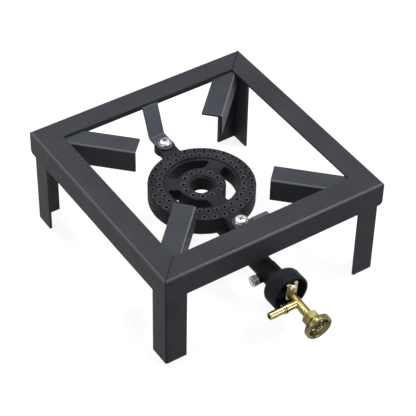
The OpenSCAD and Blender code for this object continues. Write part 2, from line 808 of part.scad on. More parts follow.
// Spindle with its needle point in the seat and its turned end through the wheel
module valve_spindle() {
    point_r = seat_d / 4;
    point = seat_out - seat_d / 4;
    cone_end = point + (spindle_d / 2 - point_r);
    edge = seat_gap * sqrt(2);
    color(brass) in_row() at_valve() {
        translate([0, 0, point + edge]) cylinder(r1 = point_r, r2 = spindle_d / 2, h = cone_end - point);
        translate([0, 0, cone_end + edge]) cylinder(d = spindle_d, h = hub_back - cone_end - edge);
        translate([0, 0, hub_back])
            cylinder(d = spindle_end_d, h = nut_front - hub_back + wheel_nut_h / 4);
    }
}

// Radial section of the handwheel: rim, dished web and hub, with Y along the valve's axis
module wheel_section() {
    r = wheel_d / 2;
    edge = rim_t / 4;
    dish = r - wheel_rim_w - rim_t / 3;
    hole = spindle_end_d / 2 + thread_gap;
    polygon(concat(
        [[hole, hub_back], [hub_d / 2, hub_back], [hub_d / 2, rim_back]],
        [[dish, rim_back], [r - wheel_rim_w, rim_back + rim_t / 8]],
        arc([r - edge, rim_back + edge], edge, 270, 360),
        arc([r - edge, rim_front - edge], edge, 0, 90),
        [[r - wheel_rim_w, rim_front - rim_t / 8], [dish, web_front], [hub_d / 2, web_front]],
        [[hub_d / 2, hub_front], [hole, hub_front]]
    ));
}

// One opening through the web: a curved slot with round ends
module wheel_slot(r, sweep) {
    translate([0, 0, rim_back - over]) {
        rotate_extrude(angle = sweep, $fn = 96)
            translate([r - wheel_slot_w / 2, 0]) square([wheel_slot_w, wheel_web_t + 2 * over]);
        for (a = [0, sweep]) rotate([0, 0, a]) translate([r, 0, 0])
            cylinder(d = wheel_slot_w, h = wheel_web_t + 2 * over, $fn = 32);
    }
}

module handwheel() {
    dish = wheel_d / 2 - wheel_rim_w - rim_t / 3;
    slot_r = (hub_d / 2 + dish) / 2;
    color(brass) in_row() at_valve() difference() {
        rotate_extrude($fn = 96) wheel_section();
        for (i = [0:wheel_slots - 1]) rotate([0, 0, 360 * (i + 0.25) / wheel_slots])
            wheel_slot(slot_r, 130 / wheel_slots);
    }
}

module wheel_washer() {
    color(zinc) in_row() at_valve() translate([0, 0, hub_front]) difference() {
        cylinder(d = hub_d - wheel_washer_t, h = wheel_washer_t);
        translate([0, 0, -over])
            cylinder(r = spindle_end_d / 2 + thread_gap, h = wheel_washer_t + 2 * over);
    }
}

module wheel_nut() {
    color(zinc) in_row() at_valve() translate([0, 0, nut_back])
        hex_nut(wheel_nut_flats, wheel_nut_h, spindle_end_d / 2 + thread_gap);
}

rail(0);  // front_rail
rail(90);  // right_rail
rail(180);  // back_rail
rail(270);  // left_rail
leg(0);  // front_left_leg
leg(90);  // front_right_leg
leg(180);  // back_right_leg
leg(270);  // back_left_leg
pot_support(0);  // front_left_pot_support
pot_support(1);  // front_right_pot_support
pot_support(2);  // back_right_pot_support
pot_support(3);  // back_left_pot_support
leg_welds();
support_welds();
strap_welds();
strap(180);  // front_burner_strap
strap(0);  // back_burner_strap
burner_casting();
strap_screws();
mixer_cup();
air_lock_screw();
valve_body();
jet_nozzle();
hose_tail();
fork_screw();
gland_nut();
gland_packing();
valve_spindle();
handwheel();
wheel_washer();
wheel_nut();
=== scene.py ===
import math

import bmesh
import bpy
import numpy as np
from mathutils import Matrix, Vector, noise


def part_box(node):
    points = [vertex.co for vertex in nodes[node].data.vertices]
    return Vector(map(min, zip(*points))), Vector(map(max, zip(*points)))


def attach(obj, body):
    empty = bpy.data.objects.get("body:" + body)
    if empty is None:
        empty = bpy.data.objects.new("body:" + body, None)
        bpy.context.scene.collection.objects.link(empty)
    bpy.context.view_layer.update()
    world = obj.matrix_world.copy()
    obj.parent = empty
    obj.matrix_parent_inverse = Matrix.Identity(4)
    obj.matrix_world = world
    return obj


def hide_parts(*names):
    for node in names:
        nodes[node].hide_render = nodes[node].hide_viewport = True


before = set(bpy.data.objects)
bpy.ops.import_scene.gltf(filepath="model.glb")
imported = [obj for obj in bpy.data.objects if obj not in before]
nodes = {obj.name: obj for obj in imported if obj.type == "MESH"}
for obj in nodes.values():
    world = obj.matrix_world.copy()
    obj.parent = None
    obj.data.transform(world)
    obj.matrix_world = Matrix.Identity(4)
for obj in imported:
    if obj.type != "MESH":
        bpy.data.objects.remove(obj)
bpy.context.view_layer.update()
mm = 0.001
joinGap = 0.000002  # metres; corners nearer than this are one corner
frameMiddle = (0.0, (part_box("front_rail")[0].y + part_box("back_rail")[1].y) / 2, 0.0)
print("frame loaded:", len(nodes), "solids from the model")


# Small helpers for the shaders

def startMaterial(name, **values):
    mat = bpy.data.materials.new(name)
    mat.use_nodes = True
    tree = mat.node_tree
    tree.nodes.clear()
    out = tree.nodes.new("ShaderNodeOutputMaterial")
    skin = tree.nodes.new("ShaderNodeBsdfPrincipled")
    tree.links.new(skin.outputs["BSDF"], out.inputs["Surface"])
    for key, value in values.items():
        skin.inputs[key.replace("_", " ")].default_value = value
    return mat, tree, skin


def addNode(tree, kind, inputs=None, **settings):
    node = tree.nodes.new("ShaderNode" + kind)
    for key, value in settings.items():
        setattr(node, key, value)
    for key, value in (inputs or {}).items():
        if isinstance(value, bpy.types.NodeSocket):
            tree.links.new(value, node.inputs[key])
        else:
            node.inputs[key].default_value = value
    return node


def position(tree):
    return addNode(tree, "TexCoord").outputs["Object"]


def speckle(tree, where, perMetre, detail=3.0, rough=0.5, squeeze=None):
    if squeeze:
        where = addNode(tree, "Mapping", {"Vector": where, "Scale": squeeze}).outputs["Vector"]
    return addNode(tree, "TexNoise", {"Vector": where, "Scale": perMetre, "Detail": detail,
                                      "Roughness": rough}).outputs["Fac"]


def remap(tree, value, low, high, toLow=0.0, toHigh=1.0):
    return addNode(tree, "MapRange", {"Value": value, "From Min": low, "From Max": high,
                                      "To Min": toLow, "To Max": toHigh}).outputs["Result"]


def calculate(tree, how, a, b):
    return addNode(tree, "Math", {0: a, 1: b}, operation=how).outputs[0]


def mixColour(tree, share, a, b):
    # the Mix node holds its colours in sockets 6 and 7, and gives the mixed one in output 2
    node = addNode(tree, "Mix", data_type="RGBA", blend_type="MIX")
    for index, value in ((0, share), (6, a), (7, b)):
        if isinstance(value, bpy.types.NodeSocket):
            tree.links.new(value, node.inputs[index])
        elif index == 0:
            node.inputs[0].default_value = value
        else:
            node.inputs[index].default_value = (*value, 1.0)
    return node.outputs[2]


def bumpOf(tree, height, depth, strength=1.0, under=None):
    node = addNode(tree, "Bump", {"Height": height, "Distance": depth, "Strength": strength})
    if under:
        tree.links.new(under, node.inputs["Normal"])
    return node.outputs["Normal"]


def attributeOf(tree, name):
    return addNode(tree, "Attribute", attribute_name=name).outputs["Fac"]


def creviceOf(tree, reach, shut, clear):
    # 1 deep in a corner of the piece itself, 0 where it lies clear: the mask for painted shade. reach is in
    # millimetres.
    light = addNode(tree, "AmbientOcclusion", {"Distance": reach * mm}, only_local=True, samples=8)
    return remap(tree, light.outputs["AO"], shut, clear, 1.0, 0.0)


# Black satin paint over steel. The edge version is thinner, smoother and here and there rubbed.
# Grains are in waves to the metre. seamWidth is in millimetres; peel, dents and seamDepth are in metres.
paint = dict(deep=(0.0162, 0.0177, 0.0222), pale=(0.0240, 0.0260, 0.0322),
             dust=(0.055, 0.054, 0.052), rubbed=(0.085, 0.088, 0.095), seam=(0.0040, 0.0042, 0.0050),
             # heel is a painted highlight: a pale line laid into the colour along each rolled heel
             heel=(0.115, 0.119, 0.127), heelHighlightShare=0.75, heelFrom=0.020, heelTo=0.08, heelRough=0.20,
             gloss=0.16, roughLow=0.50, roughHigh=0.62, edgeLow=0.08, edgeHigh=0.06,
             broadGrain=14.0, cloudGrain=70.0, peelGrain=620.0, fineGrain=2600.0, brushGrain=160.0,
             peel=0.000035, dents=0.00010, seamWidth=0.55, seamDepth=0.0006, faintSeam=0.35)
strapLook = dict(paint, roughLow=0.34, roughHigh=0.44)
# the supports' heels carry a brighter painted highlight
supportLook = dict(paint, heel=(0.160, 0.165, 0.175), heelHighlightShare=0.90, heelFrom=0.07, heelTo=0.15)


def heelOf(tree, look):
    # 1 on the rolled heel between a level and an upright face, 0 on the faces. It makes the heel glossier, and it
    # lays a painted highlight, a pale line, into the heel's colour.
    normal = addNode(tree, "TexCoord").outputs["Normal"]
    lift = addNode(tree, "SeparateXYZ", {"Vector": normal}).outputs["Z"]
    arch = calculate(tree, "MULTIPLY", lift, calculate(tree, "SUBTRACT", 1.0, lift))
    return remap(tree, arch, look["heelFrom"], look["heelTo"])


def seamOf(tree, where, look):
    # dark lines where the rails' mitred ends meet, on the diagonals of the frame
    where = addNode(tree, "VectorMath", {0: where, 1: frameMiddle}, operation="SUBTRACT").outputs["Vector"]
    parts = addNode(tree, "SeparateXYZ", {"Vector": where}).outputs
    lines = []
    for how, share in (("SUBTRACT", 1.0), ("ADD", look["faintSeam"])):
        off = calculate(tree, "ABSOLUTE", calculate(tree, how, parts["X"], parts["Y"]), 0.0)
        lines.append(remap(tree, off, look["seamWidth"] * mm, look["seamWidth"] * mm * 2, share, 0.0))
    return calculate(tree, "MAXIMUM", *lines)


def makePaint(name, look, edge=False, level=1.0, rolled=False, mitred=False):
    mat, tree, skin = startMaterial(name, Specular_IOR_Level=look["gloss"])
    where = position(tree)
    broad = speckle(tree, where, look["broadGrain"], 4.0, 0.55)
    cloudy = speckle(tree, where, look["cloudGrain"], 5.0, 0.6)
    peel = speckle(tree, where, look["peelGrain"], 2.0, 0.45)
    fine = speckle(tree, where, look["fineGrain"], 2.0, 0.5)
    brush = speckle(tree, where, look["brushGrain"], 4.0, 0.6, (1.0, 1.0, 0.16))
    # level scales the paint's colour; above 1 it is painted light, a lighter copy of the same paint
    deep = tuple(c * level for c in look["deep"])
    pale = tuple(c * level for c in look["pale"])
    colour = mixColour(tree, remap(tree, broad, 0.35, 0.66), deep, pale)
    colour = mixColour(tree, remap(tree, cloudy, 0.45, 0.75, 0.0, 0.35), colour, pale)
    colour = mixColour(tree, remap(tree, fine, 0.66, 0.80, 0.0, 0.22), colour, look["dust"])
    if edge:
        worn = calculate(tree, "MULTIPLY", remap(tree, cloudy, 0.38, 0.62), remap(tree, fine, 0.35, 0.70))
        colour = mixColour(tree, remap(tree, worn, 0.0, 1.0, 0.15, 0.75), colour, look["rubbed"])
    roughLow = look["roughLow"] - (look["edgeLow"] if edge else 0.0)
    roughHigh = look["roughHigh"] - (look["edgeHigh"] if edge else 0.0)
    rough = remap(tree, calculate(tree, "ADD", cloudy, brush), 0.7, 1.35, roughLow, roughHigh)
    if rolled:
        heel = heelOf(tree, look)
        # painted highlight: the heel colour mixed in along the rolled heel
        colour = mixColour(tree, calculate(tree, "MULTIPLY", heel, look["heelHighlightShare"]), colour, look["heel"])
        rough = addNode(tree, "Mix", {0: heel, 2: rough, 3: look["heelRough"]}).outputs[0]
    if mitred:
        seam = seamOf(tree, where, look)
        colour = mixColour(tree, seam, colour, look["seam"])
    tree.links.new(colour, skin.inputs["Base Color"])
    tree.links.new(rough, skin.inputs["Roughness"])
    flatness = bumpOf(tree, broad, look["dents"] * 8, 0.5)
    flatness = bumpOf(tree, peel, look["peel"], 0.8, flatness)
    flatness = bumpOf(tree, fine, look["peel"] * 0.25, 0.7, flatness)
    if mitred:
        flatness = bumpOf(tree, calculate(tree, "SUBTRACT", 1.0, seam), look["seamDepth"], 1.0, flatness)
    tree.links.new(flatness, skin.inputs["Normal"])
    return mat


# Sand-cast iron under a thin coat of black. grain and lumps are depths in metres.
castIron = dict(deep=(0.0055, 0.0060, 0.0076), pale=(0.0235, 0.0250, 0.0295),
                # the colour inside the ports is painted shade
                bare=(0.056, 0.060, 0.068), portShade=(0.002, 0.002, 0.002),
                gloss=0.12, roughLow=0.55, roughHigh=0.80,
                broadGrain=30.0, fineGrain=900.0, sandGrain=1500.0, pitGrain=420.0,
                grain=0.00026, lumps=0.00035)


def makeCasting(name, look, ports=False):
    mat, tree, skin = startMaterial(name, Specular_IOR_Level=look["gloss"])
    where = position(tree)
    broad = speckle(tree, where, look["broadGrain"], 4.0, 0.6)
    grain = speckle(tree, where, look["fineGrain"], 5.0, 0.62)
    sand = addNode(tree, "TexVoronoi", {"Vector": where, "Scale": look["sandGrain"]}).outputs["Distance"]
    pits = remap(tree, speckle(tree, where, look["pitGrain"], 3.0, 0.5), 0.60, 0.72)
    colour = mixColour(tree, remap(tree, broad, 0.35, 0.68), look["deep"], look["pale"])
    colour = mixColour(tree, remap(tree, grain, 0.50, 0.66, 0.0, 0.75), colour, look["pale"])
    colour = mixColour(tree, calculate(tree, "MULTIPLY", pits, 0.7), colour, look["deep"])
    rough = remap(tree, grain, 0.3, 0.7, look["roughHigh"], look["roughLow"])
    if ports:
        rim = attributeOf(tree, "portRim")
        scuff = calculate(tree, "MULTIPLY", rim, remap(tree, grain, 0.30, 0.55, 0.45, 1.0))
        colour = mixColour(tree, scuff, colour, look["bare"])
        # painted shade down inside each port, by depth
        inside = attributeOf(tree, "portInside")
        colour = mixColour(tree, inside, colour, look["portShade"])
    tree.links.new(colour, skin.inputs["Base Color"])
    tree.links.new(rough, skin.inputs["Roughness"])
    raised = calculate(tree, "ADD", grain, calculate(tree, "MULTIPLY", sand, 0.35))
    height = calculate(tree, "SUBTRACT", raised, calculate(tree, "MULTIPLY", pits, 0.35))
    flatness = bumpOf(tree, broad, look["lumps"] * 3, 0.4)
    flatness = bumpOf(tree, height, look["grain"], 0.9, flatness)
    tree.links.new(flatness, skin.inputs["Normal"])
    return mat


# Turned brass, with tool marks square to the part's own axis, dull spots and painted shade in its corners.
# reach is in millimetres, marks is a depth in metres.
valveTilt = math.radians(6.0)
valveAxis = (0.0, -math.cos(valveTilt), -math.sin(valveTilt))
brass = dict(bright=(0.43, 0.365, 0.175), deep=(0.215, 0.170, 0.062), dull=(0.070, 0.055, 0.019),
             creviceShade=(0.030, 0.023, 0.009), reach=3.5, shut=0.25, clear=0.80,
             roughLow=0.20, roughHigh=0.32, marks=0.000003,
             markGrain=5200.0, cloudGrain=110.0, fineGrain=1500.0, stainGrain=330.0)
# aged brass: darker tones, and painted shade that reaches further into its corners
agedBrass = dict(brass, bright=(0.38, 0.325, 0.145), deep=(0.115, 0.094, 0.033), dull=(0.036, 0.029, 0.011),
                 reach=9.0, shut=0.48, clear=1.0, marks=0.000008)
# the handwheel's brass is darkened all over: painted shade and painted dark reflections inside its dish
wheelShadedLook = dict(agedBrass, bright=(0.235, 0.200, 0.088), deep=(0.050, 0.041, 0.015),
                 roughLow=0.16, roughHigh=0.26)


def makeBrass(name, look, axis, cast=0.0):
    mat, tree, skin = startMaterial(name, Metallic=1.0)
    where = position(tree)
    along = addNode(tree, "VectorMath", {0: where, 1: axis}, operation="DOT_PRODUCT").outputs["Value"]
    rings = addNode(tree, "TexNoise", {"W": along, "Scale": look["markGrain"], "Detail": 3.0, "Roughness": 0.7},
                    noise_dimensions="1D").outputs["Fac"]
    cloudy = speckle(tree, where, look["cloudGrain"], 5.0, 0.6)
    fine = speckle(tree, where, look["fineGrain"], 4.0, 0.6)
    stain = speckle(tree, where, look["stainGrain"], 5.0, 0.65)
    colour = mixColour(tree, remap(tree, cloudy, 0.38, 0.68), look["bright"], look["deep"])
    colour = mixColour(tree, remap(tree, stain, 0.56, 0.74, 0.0, 0.55), colour, look["dull"])
    colour = mixColour(tree, remap(tree, rings, 0.35, 0.7, 0.0, 0.22), colour, look["deep"])
    crevice = creviceOf(tree, look["reach"], look["shut"], look["clear"])
    # painted shade in the corners
    colour = mixColour(tree, crevice, colour, look["creviceShade"])
    tree.links.new(colour, skin.inputs["Base Color"])
    rough = remap(tree, calculate(tree, "ADD", cloudy, calculate(tree, "MULTIPLY", stain, 0.8)),
                  0.65, 1.15, look["roughLow"] + cast * 0.1, look["roughHigh"] + cast * 0.12)
    tree.links.new(rough, skin.inputs["Roughness"])
    flatness = bumpOf(tree, rings, look["marks"], 0.7 * (1 - cast * 0.7))
    flatness = bumpOf(tree, fine, look["marks"] * (0.8 + cast * 5), 0.6, flatness)
    tree.links.new(flatness, skin.inputs["Normal"])
    return mat


# Zinc plate: bright on the screws, grey on the lock screw, yellow on the wheel's nut and washer
zinc = dict(bright=(0.78, 0.79, 0.80), grey=(0.50, 0.51, 0.53), dull=(0.25, 0.25, 0.26),
            # recess is the colour of painted shade, in the corners and down the screws' cross recess
            recess=(0.035, 0.035, 0.038), reach=1.5, shut=0.30, clear=0.90,
            roughLow=0.20, roughHigh=0.42, marks=0.000010,
            markGrain=4200.0, cloudGrain=260.0, fineGrain=1900.0)
greyZinc = dict(zinc, bright=(0.62, 0.63, 0.65), grey=(0.30, 0.305, 0.32), dull=(0.10, 0.10, 0.11))
yellowZinc = dict(zinc, bright=(0.40, 0.36, 0.22), grey=(0.20, 0.175, 0.09), dull=(0.09, 0.075, 0.04))


def makeZinc(name, look, axis, recess=False):
    mat, tree, skin = startMaterial(name, Metallic=1.0)
    where = position(tree)
    along = addNode(tree, "VectorMath", {0: where, 1: axis}, operation="DOT_PRODUCT").outputs["Value"]
    rings = addNode(tree, "TexNoise", {"W": along, "Scale": look["markGrain"], "Detail": 2.0},
                    noise_dimensions="1D").outputs["Fac"]
    cloudy = speckle(tree, where, look["cloudGrain"], 5.0, 0.6)
    fine = speckle(tree, where, look["fineGrain"], 4.0, 0.6)
    colour = mixColour(tree, remap(tree, cloudy, 0.36, 0.66), look["bright"], look["grey"])
    colour = mixColour(tree, remap(tree, fine, 0.60, 0.78, 0.0, 0.5), colour, look["dull"])
    # painted shade in the corners
    crevice = creviceOf(tree, look["reach"], look["shut"], look["clear"])
    colour = mixColour(tree, crevice, colour, look["recess"])
    # painted shade down the cross recess, by its depth
    if recess:
        colour = mixColour(tree, attributeOf(tree, "inRecess"), colour, look["recess"])
    tree.links.new(colour, skin.inputs["Base Color"])
    tree.links.new(remap(tree, cloudy, 0.3, 0.7, look["roughLow"], look["roughHigh"]), skin.inputs["Roughness"])
    flatness = bumpOf(tree, rings, look["marks"], 0.6)
    flatness = bumpOf(tree, fine, look["marks"], 0.7, flatness)
    tree.links.new(flatness, skin.inputs["Normal"])
    return mat


# White packing ring inside the gland nut. nap is a depth in metres.
packingLook = dict(white=(0.80, 0.80, 0.77), grey=(0.45, 0.45, 0.43), cloudGrain=700.0,
                   roughLow=0.35, roughHigh=0.55, nap=0.00003)


def makePacking(name, look):
    mat, tree, skin = startMaterial(name)
    where = position(tree)
    cloudy = speckle(tree, where, look["cloudGrain"], 4.0, 0.6)
    colour = mixColour(tree, remap(tree, cloudy, 0.4, 0.7), look["white"], look["grey"])
    rough = remap(tree, cloudy, 0.3, 0.7, look["roughLow"], look["roughHigh"])
    tree.links.new(colour, skin.inputs["Base Color"])
    tree.links.new(rough, skin.inputs["Roughness"])
    tree.links.new(bumpOf(tree, cloudy, look["nap"], 0.6), skin.inputs["Normal"])
    return mat


railPaint = makePaint("satin black paint", paint, rolled=True, mitred=True)
railEdge = makePaint("satin black paint on edges", paint, edge=True, rolled=True, mitred=True)
# the supports' paint is a copy one and a half times lighter: painted light
supportPaint = makePaint("satin black paint on supports with painted light", supportLook, level=1.5, rolled=True)
supportEdge = makePaint("satin black paint on support edges", supportLook, edge=True, rolled=True)
legEdge = makePaint("satin black paint on leg edges", paint, edge=True)
# the straps' paint is a copy 3.4 times lighter: a painted highlight on their sloping faces
strapPaint = makePaint("satin black paint on straps with painted highlight", strapLook, level=3.4)
strapEdge = makePaint("satin black paint on strap edges with painted highlight", strapLook, edge=True, level=3.4)
beadPaint = makePaint("black paint over weld", paint, level=0.9)
castCoat = makeCasting("black sand casting", castIron)
burnerCoat = makeCasting("black sand casting with ports", castIron, ports=True)
valveBrass = makeBrass("turned brass", brass, valveAxis)
tailBrass = makeBrass("turned brass across", brass, (1.0, 0.0, 0.0))
wheelBrass = makeBrass("cast brass with painted shade", wheelShadedLook, valveAxis, cast=0.2)
nutBrass = makeBrass("milled brass", agedBrass, valveAxis)
screwZinc = makeZinc("zinc plate", zinc, (0.0, 0.0, 1.0), recess=True)
forkZinc = makeZinc("zinc plate on the fork screw", zinc, valveAxis)
lockZinc = makeZinc("grey zinc plate", greyZinc, (1.0, 0.0, 0.0))
nutZinc = makeZinc("yellow zinc plate", yellowZinc, valveAxis)
whitePacking = makePacking("white packing", packingLook)
print("materials made")


# Finish on the model's own solids: joined corners, and rounded edges that can have a coat of their own

def dressNode(name, coat, edgeCoat=None, width=0.4, segments=3, angle=32.0):
    # width is in millimetres, angle in degrees
    o = nodes[name]
    data = o.data
    if "custom_normal" in data.attributes:
        data.attributes.remove(data.attributes["custom_normal"])
    data.materials.clear()
    data.materials.append(coat)
    data.materials.append(edgeCoat or coat)
    data.polygons.foreach_set("material_index", [0] * len(data.polygons))
    data.polygons.foreach_set("use_smooth", [True] * len(data.polygons))
    weld = o.modifiers.new("joined corners", "WELD")
    weld.merge_threshold = joinGap
    bevel = o.modifiers.new("rounded edges", "BEVEL")
    bevel.width = width * mm
    bevel.segments = segments
    bevel.limit_method = "ANGLE"
    bevel.angle_limit = math.radians(angle)
    bevel.use_clamp_overlap = True
    bevel.harden_normals = True
    bevel.material = 1
    bevel.miter_outer = "MITER_ARC"


rails = dict(names=("front_rail", "right_rail", "back_rail", "left_rail"), edge=0.45)
for name in rails["names"]:
    dressNode(name, railPaint, railEdge, rails["edge"])

legs = dict(names=("front_left_leg", "front_right_leg", "back_right_leg", "back_left_leg"), edge=0.45)
for name in legs["names"]:
    dressNode(name, railPaint, legEdge, legs["edge"])

supports = dict(names=("front_left_pot_support", "front_right_pot_support",
                       "back_right_pot_support", "back_left_pot_support"), edge=0.45)
for name in supports["names"]:
    dressNode(name, supportPaint, supportEdge, supports["edge"])

straps = dict(names=("front_burner_strap", "back_burner_strap"), edge=0.4)
for name in straps["names"]:
    dressNode(name, strapPaint, strapEdge, straps["edge"])
print("stand dressed")

# coat and edge radius of each small piece
valveParts = dict(
    valve_body=(valveBrass, 0.25), jet_nozzle=(valveBrass, 0.15), hose_tail=(tailBrass, 0.25),
    gland_nut=(nutBrass, 0.3), valve_spindle=(nutBrass, 0.2), handwheel=(wheelBrass, 0.5),
    fork_screw=(forkZinc, 0.15), wheel_washer=(nutZinc, 0.1), wheel_nut=(nutZinc, 0.2),
    air_lock_screw=(lockZinc, 0.12), gland_packing=(whitePacking, 0.1))
for name, (coat, edge) in valveParts.items():
    dressNode(name, coat, None, edge, 2)
print("valve dressed")


# Mesh helpers for the new pieces

def meshOf(name, bm):
    bmesh.ops.recalc_face_normals(bm, faces=bm.faces)
    data = bpy.data.meshes.new(name)
    bm.to_mesh(data)
    bm.free()
    o = bpy.data.objects.new(name, data)
    bpy.context.scene.collection.objects.link(o)
    return o


def lathe(bm, profile, steps, place=Matrix.Identity(4)):
    # profile: closed list of (radius, height) round the Z axis; radius 0 closes at the axis
    rings = []
    for radius, height in profile:
        if radius < 1e-9:
            rings.append([bm.verts.new(place @ Vector((0.0, 0.0, height)))])
        else:
            rings.append([bm.verts.new(place @ Vector((radius * math.cos(2 * math.pi * k / steps),
                                                       radius * math.sin(2 * math.pi * k / steps), height)))
                          for k in range(steps)])
    for a, b in zip(rings, rings[1:] + rings[:1]):
        if len(a) == 1 and len(b) == 1:
            continue
        for k in range(steps):
            quad = [a[k % len(a)], a[(k + 1) % len(a)], b[(k + 1) % len(b)], b[k % len(b)]]
            corners = [v for i, v in enumerate(quad) if v not in quad[:i]]
            bm.faces.new(corners)


def extrude(bm, outline, low, high, place=Matrix.Identity(4)):
    under = [bm.verts.new(place @ Vector((x, y, low))) for x, y in outline]
    over = [bm.verts.new(place @ Vector((x, y, high))) for x, y in outline]
    bm.faces.new(under)
    bm.faces.new(over)
    for k in range(len(outline)):
        n = (k + 1) % len(outline)
        bm.faces.new((under[k], under[n], over[n], over[k]))


def arcPoints(x, y, radius, start, end, steps=8):
    return [(x + radius * math.cos(math.radians(start + (end - start) * k / steps)),
             y + radius * math.sin(math.radians(start + (end - start) * k / steps)))
            for k in range(steps + 1)]


def finishMesh(o):
    # the object's mesh becomes what its modifiers make of it
    bpy.context.view_layer.update()
    made = bpy.data.meshes.new_from_object(o.evaluated_get(bpy.context.evaluated_depsgraph_get()))
    o.modifiers.clear()
    o.data = made


def castSurface(o, voxel, rounds, lump, waveSize):
    # pours the shape in sand: one skin, rounded edges, and a faint waviness. Sizes are in millimetres.
    skin = o.modifiers.new("one skin", "REMESH")
    skin.mode = "VOXEL"
    skin.voxel_size = voxel * mm
    skin.use_smooth_shade = True
    soft = o.modifiers.new("soft edges", "SMOOTH")
    soft.factor = 0.5
    soft.iterations = rounds
    finishMesh(o)
    count = len(o.data.vertices) * 3
    at, out = np.empty(count), np.empty(count)
    o.data.vertices.foreach_get("co", at)
    o.data.vertex_normals.foreach_get("vector", out)
    at, out = at.reshape(-1, 3), out.reshape(-1, 3)
    wave = np.array([noise.noise(p * 3.1) + 0.5 * noise.noise(p * 9.7)
                     for p in (Vector(q) for q in at / (waveSize * mm))])
    at -= out * (lump * mm * (0.6 + wave))[:, None]
    o.data.vertices.foreach_set("co", at.ravel())
    o.data.update()


def cutBy(o, cutter):
    cut = o.modifiers.new("cut", "BOOLEAN")
    cut.operation = "DIFFERENCE"
    cut.object = cutter
    cut.solver = "MANIFOLD"
    finishMesh(o)
    bpy.data.objects.remove(cutter)


# Burner: outer ring, inner ring, webs, lugs and mixing tube as one casting, in millimetres and degrees.
# Each count of steps is that of the corners round a turned form.
burner = dict(ringRadius=65.0, ringWidth=23.0, lip=3.0, rise=2.5, rimFall=2.2, rimWidth=6.5, depth=22.0,
              ringSteps=192, bossSteps=128, tubeSteps=96, boreSteps=72, portSteps=28, eyeSteps=14,
              bossRadius=29.0, bossEdge=1.0, holeRadius=13.0, funnelWidth=4.0, funnelDepth=3.5,
              webWidth=20.5, webHeight=17.0, webFillet=5.0, webAngles=(30, 150, 270),
              lugWidth=22.0, lugEye=13.0, lugHeight=8.5, lugEnd=10.5, lugRoot=8.0, screwOut=17.5,
              tubeRadius=12.4, tubeDrop=8.0, tubeStart=1.5, spigotRadius=10.6, spigotLength=31.5,
              boreRadius=8.8, boreDepth=45.0, boreEdge=0.8, boreOver=3.0,
              ringPorts=31, bossPorts=12, bossRowIn=1.5, bossRowOut=3.0, portRadius=1.9, portDepth=6.0,
              sinkRadius=3.3, sinkDepth=0.7, sinkOver=4.0, portMarkDepth=7.5,
              voxel=0.72, rounds=3, lump=0.10, waveSize=28.0, sharp=38.0)


def webOutline(b):
    small = 0.4 * b["webFillet"]
    sideIn = b["webWidth"] / 2 + b["webFillet"]
    sideOut = b["webWidth"] / 2 + small
    ringIn = b["ringRadius"] - b["ringWidth"]
    inner = math.sqrt((b["bossRadius"] + b["webFillet"]) ** 2 - sideIn ** 2)
    outer = math.sqrt((ringIn - small) ** 2 - sideOut ** 2)
    turn = math.degrees(math.atan2(sideOut, outer))
    half = [(b["bossRadius"] / 2, sideIn / 2)]
    half += arcPoints(inner, sideIn, b["webFillet"], 180 + math.degrees(math.atan2(sideIn, inner)), 270)
    half += arcPoints(outer, sideOut, small, 270, 360 + turn)
    reach = ringIn + b["lip"]
    half += [(reach * math.cos(math.radians(turn)), reach * math.sin(math.radians(turn))), (reach, 0.0)]
    return half + [(x, -y) for x, y in reversed(half[:-1])]


